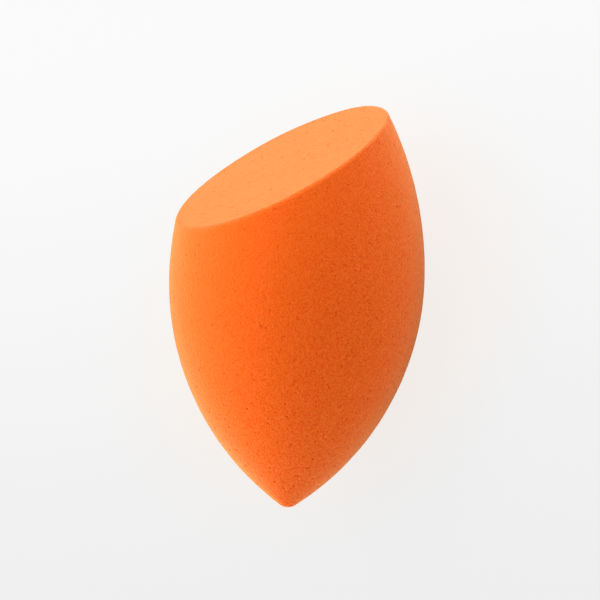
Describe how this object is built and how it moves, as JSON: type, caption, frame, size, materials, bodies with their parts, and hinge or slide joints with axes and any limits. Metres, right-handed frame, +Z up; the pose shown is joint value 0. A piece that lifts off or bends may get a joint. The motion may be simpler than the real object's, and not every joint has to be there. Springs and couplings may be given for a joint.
{
  "type": "makeup sponge",
  "caption": "Soft foam makeup sponge: a teardrop with a rounded tip and its wide end cut off flat at a slant.",
  "frame": {"origin": "centre of the sponge's bounding box seen from above, at the height of the table that it lies on", "axes": "+X from the tip towards the cut end, +Z up from the long side that it lies on towards the short side, XZ the mirror plane"},
  "size_m": [0.0662, 0.04, 0.0399],
  "materials": {
    "foam": "matte"
  },
  "bodies": {
    "root": {"foam_body": "foam"}
  },
  "joints": []
}
